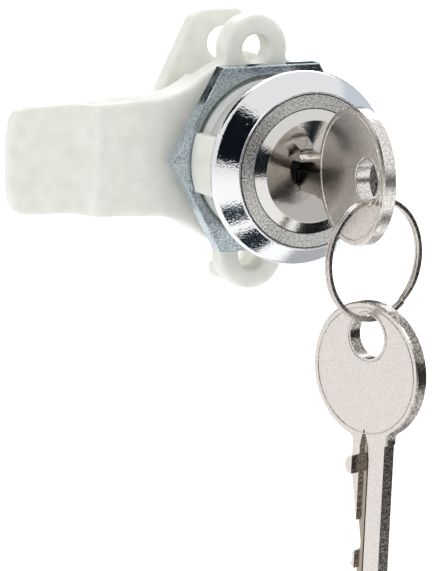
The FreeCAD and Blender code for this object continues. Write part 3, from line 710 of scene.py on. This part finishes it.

# %% [markdown]
# ## Nickel-plated key
# The key blank is stamped from brass sheet and plated. Its faces keep the smooth rolled skin, and
# its edge is sheared, with a torn grain. The surface's direction tells the two apart: on a face
# the normal lies along the key's thickness, and on the edge it lies across it. In the photograph
# one key's edge is bright and the other's is dark, so each key has tones of its own. Those tones
# are painted light: a painted highlight on the inserted key's edge, painted shade on the spare
# key's edge, and faces painted darker on the inserted key than on the spare.

# %% Key finish
def key_finish(name, thickness_direction, middle_mm, faces, edges, grain_depth):
    """Smooth warm nickel on the faces, a torn grain on the edges, and a darker tone in the grooves.

    An edge is where the normal leaves the thickness direction. A groove is where the point lies
    below the face: half the thickness less its distance from the key's middle plane.
    """
    material, tree, shader = new_finish(name, Metallic=1.0)
    place = add_node(tree, "ShaderNodeTexCoord")
    facing = add_node(tree, "ShaderNodeVectorMath", {1: thickness_direction}, {0: (place, "Normal")},
                      operation="DOT_PRODUCT")
    away = add_node(tree, "ShaderNodeMath", links={0: (facing, "Value")}, operation="ABSOLUTE")
    edge = add_node(tree, "ShaderNodeMapRange", {"From Min": 0.9, "From Max": 0.6},
                    {"Value": (away, "Value")})
    along = add_node(tree, "ShaderNodeVectorMath", {1: thickness_direction}, {0: (place, "Object")},
                     operation="DOT_PRODUCT")
    off_middle = add_node(tree, "ShaderNodeMath", {1: middle_mm * mm}, {0: (along, "Value")},
                          operation="SUBTRACT")
    from_middle = add_node(tree, "ShaderNodeMath", links={0: (off_middle, "Value")}, operation="ABSOLUTE")
    groove = between(tree, (from_middle, "Value"), key_half - 0.1, key_half - 0.2)
    noise = add_node(tree, "ShaderNodeTexNoise", {"Scale": per_metre(0.34), "Detail": 2.0},
                     {"Vector": (place, "Object")})
    spread = add_node(tree, "ShaderNodeMapRange", {"From Min": 0.36, "From Max": 0.64},
                      {"Value": (noise, "Fac")})
    grain = (spread, "Result")
    face_tone = two_tones(tree, grain, *faces)
    floor_tone = two_tones(tree, (groove, "Result"), face_tone, "A79C90")
    tone = two_tones(tree, (edge, "Result"), floor_tone, two_tones(tree, grain, *edges))
    tree.links.new(tone.outputs[2], shader.inputs["Base Color"])
    shine = add_node(tree, "ShaderNodeMapRange", {"To Min": 0.2, "To Max": 0.27}, {"Value": (edge, "Result")})
    tree.links.new(shine.outputs["Result"], shader.inputs["Roughness"])
    depth = add_node(tree, "ShaderNodeMapRange", {"To Min": 0.06, "To Max": 1.0}, {"Value": (edge, "Result")})
    bump = add_node(tree, "ShaderNodeBump", {"Distance": grain_depth * mm},
                    {"Height": (noise, "Fac"), "Strength": (depth, "Result")})
    tree.links.new(bump.outputs["Normal"], shader.inputs["Normal"])
    return material


spare_direction = (float(np.cos(np.radians(spare_yaw))), float(np.sin(np.radians(spare_yaw))), 0.0)
spare_middle = float(side_shift * spare_direction[0] + hole_depth * spare_direction[1])
# Painted light: the inserted key gets darker faces and a painted highlight on its edge, the spare key lighter
# faces and painted shade on its edge.
key_nickel = key_finish("nickel_plated_brass_key", (1.0, 0.0, 0.0), 0.0,
                        ("B2ACA4", "CBC5BE"), ("D2CDC7", "FFFCF9"), grain_depth=0.02)
spare_nickel = key_finish("nickel_plated_brass_spare_key", spare_direction, spare_middle,
                          ("D6CFC9", "E4DED9"), ("5B564F", "CFCAC3"), grain_depth=0.026)
# Painted shade: the slit's walls are toned nearly black, for the shade deep in the narrow slit.
slit_shade, tree, shader = new_finish("painted_shade_in_the_slit", Metallic=1.0)
grainy(tree, shader, 0.3, 0.006, colours=("2B2723", "4A443E"), roughness=(0.3, 0.5))

# %% [markdown]
# ## Spring steel and brass
# The split ring and the small springs are drawn wire, bright and warm grey with a fine grain. The
# snap ring has the same finish. The wafers inside the plug are stamped from brass strip.

# %% Wire and strip
spring_steel, tree, shader = new_finish("bright_drawn_spring_steel", Metallic=1.0)
grainy(tree, shader, 0.3, 0.006, colours=("B9B3AD", "E3DED9"), roughness=(0.2, 0.32))
brass, tree, shader = new_finish("stamped_brass_strip", Metallic=1.0)
grainy(tree, shader, 0.4, 0.004, colours=("C9A961", "E2C682"), roughness=(0.2, 0.35))

# %% Give every piece its finish
finishes = {
    plug_chrome: ["plug"],
    turned_nickel: ["cylinder_barrel"],
    zinc_plate: ["stop_disc", "cam_washer", "cam_screw"],
    spring_steel: ["snap_ring"],
    brass: [f"wafer_{i}" for i in range(1, 6)],
}
pieces = [(bezel, chrome), (neck, nylon), (tab, nylon), (lever, nylon), (nut, zinc_plate),
          (ring, spring_steel), (key, key_nickel), (beads, key_nickel),
          (spare, spare_nickel), (spare_beads, spare_nickel)]
pieces += [(spring, spring_steel) for spring in springs]
pieces += [(nodes[name], material) for material, names in finishes.items() for name in names]
for piece, material in pieces:
    piece.data.materials.clear()
    piece.data.materials.append(material)
for piece in (key, spare):
    piece.data.materials.append(slit_shade)
print("finished pieces:", len(pieces))

# %% [markdown]
# ## A pale room
# Chrome shows nothing but its surroundings, so the room matters more than the lamps. The lock
# hangs over a pale floor in even white light. Dark cards stand where the chrome has to turn black:
# each one lies in the direction in which a face of the bezel, the plug, the nut or a key mirrors
# the camera's view. A pale blue card gives the cool side. The cards show in reflections only.
# A weak lamp stands in front at the upper left, and a strong one whitens the floor behind.

# %% Floor, cards and light
unit_square = [(-1, -1), (1, -1), (1, 1), (-1, 1)]
floor_reach, floor_height = 6, -0.22


def flat_card(name, centre, towards, width, height, colour, strength):
    """Rectangle at a point, facing another point, that glows with one colour."""
    forward = (Vector(towards) - Vector(centre)).normalized()
    turn = forward.to_track_quat("Z", "Y")
    points = [Vector(centre) + turn @ Vector((x * width / 2, y * height / 2, 0)) for x, y in unit_square]
    mesh = bpy.data.meshes.new(name)
    mesh.from_pydata([tuple(p) for p in points], [], [(0, 1, 2, 3)])
    card = bpy.data.objects.new(name, mesh)
    bpy.context.scene.collection.objects.link(card)
    material = bpy.data.materials.new(name)
    material.use_nodes = True
    material.node_tree.nodes.clear()
    glow = add_node(material.node_tree, "ShaderNodeEmission", {"Color": linear(colour), "Strength": strength})
    add_node(material.node_tree, "ShaderNodeOutputMaterial", links={"Surface": (glow, "Emission")})
    mesh.materials.append(material)
    card.visible_camera = card.visible_diffuse = card.visible_shadow = False
    card.visible_transmission = card.visible_volume_scatter = False
    card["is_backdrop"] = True


lock = (0, 0, 0)
cards = [
    ("dark_card_upper_left", (-0.42, -0.15, 0.22), 0.22, 0.48, "0B1117"),
    ("dark_card_lower_left", (-0.165, -0.036, -0.175), 0.05, 0.07, "2A343C"),
    ("dark_card_below", (-0.055, 0.0, -0.21), 0.055, 0.08, "1E2830"),
    ("grey_card_below_rear", (0.10, 0.08, -0.185), 0.12, 0.14, "B4B5B7"),
    ("dark_wall_front", (0.25, -1.1, -0.05), 1.3, 0.5, "17191B"),
    ("dark_wall_front_left", (-0.42, -1.0, 0.0), 0.4, 0.5, "10161C"),
    ("dark_wall_right", (0.45, -0.19, -0.085), 0.5, 0.26, "1D1B19"),
    ("dark_card_below_right", (0.12, -0.10, -0.19), 0.12, 0.07, "16191C"),
    ("dark_card_right_rear", (0.50, 0.38, -0.10), 0.16, 0.16, "3A3E42"),
    ("dark_card_behind_above", (-0.16, 0.40, 0.26), 0.26, 0.26, "14181D"),
    ("dark_card_behind_right", (0.26, 0.50, 0.11), 0.7, 0.36, "0E171F"),
]
for name, centre, width, height, colour in cards:
    flat_card(name, centre, lock, width, height, colour, 1.0)
print("dark and grey cards:", len(cards))
flat_card("blue_card_right", (0.45, 0.15, 0.14), lock, 0.35, 0.3, "D5DDE5", 0.9)

floor_corners = [(x * floor_reach, y * floor_reach, floor_height) for x, y in unit_square]
floor_mesh = bpy.data.meshes.new("floor")
floor_mesh.from_pydata(floor_corners, [], [(0, 1, 2, 3)])
floor = bpy.data.objects.new("floor", floor_mesh)
bpy.context.scene.collection.objects.link(floor)
floor_paint = new_finish("pale_matt_floor", Base_Color=linear("FAFAFA"), Roughness=0.9)[0]
floor_mesh.materials.append(floor_paint)
floor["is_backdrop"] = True

world = bpy.data.worlds.new("white_room")
bpy.context.scene.world = world
world.use_nodes = True
world.node_tree.nodes.clear()
sky = add_node(world.node_tree, "ShaderNodeBackground", {"Color": linear("FFFFFF"), "Strength": 0.86})
add_node(world.node_tree, "ShaderNodeOutputWorld", links={"Surface": (sky, "Background")})


def soft_lamp(name, place, towards, size, power):
    """Square area lamp at a point, turned towards another."""
    data = bpy.data.lights.new(name, "AREA")
    data.size, data.energy = size, power
    lamp = bpy.data.objects.new(name, data)
    lamp.location = place
    lamp.rotation_euler = (Vector(towards) - Vector(place)).to_track_quat("-Z", "Y").to_euler()
    bpy.context.scene.collection.objects.link(lamp)


soft_lamp("key_lamp", (-0.7, -0.8, 0.9), lock, 0.5, 2.0)
soft_lamp("floor_lamp", (1.0, 2.4, 1.6), (1.0, 2.4, floor_height), 2.6, 60.0)
bpy.context.scene.view_settings.view_transform = "Standard"

# %% [markdown]
# ## The camera
# The photograph was taken from the left and a little above. The view's direction, its small roll
# and the point it looks at were fitted to the lock's own circles. They don't tell how far away the
# camera stood, so a distance was chosen, and the lens gives the lock its size in the picture.

# %% Camera
azimuth, elevation, roll = np.radians([-26.79, 10.69, 1.14])
distance = 0.8
aim_right, aim_up, aim_depth = -12.42, -18.78, -1.25
level = np.cos(elevation)
back = np.array([np.sin(azimuth) * level, -np.cos(azimuth) * level, np.sin(elevation)])
right = np.cross(-back, (0, 0, 1))
right /= np.linalg.norm(right)
up = np.cross(right, -back)
rolled_right = right * np.cos(roll) + up * np.sin(roll)
rolled_up = up * np.cos(roll) - right * np.sin(roll)
target = (aim_right * rolled_right + aim_up * rolled_up + np.array([0, aim_depth, 0])) * mm
camera_data = bpy.data.cameras.new("camera")
camera_data.lens, camera_data.sensor_width, camera_data.clip_end = 316.4, 36.0, 20.0
camera = bpy.data.objects.new("camera", camera_data)
bpy.context.scene.collection.objects.link(camera)
turn = Matrix([rolled_right, rolled_up, back]).transposed()
camera.matrix_world = Matrix.Translation(Vector(target + back * distance)) @ turn.to_4x4()
bpy.context.scene.camera = camera
print("camera at", [round(v, 4) for v in camera.location], "lens", camera_data.lens)

# %% [markdown]
# ## The size
# The last line measures the box that the dressed lock fills. The dressed lock must fill the same
# box as the imported one.

# %% Sizes and finish
low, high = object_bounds()
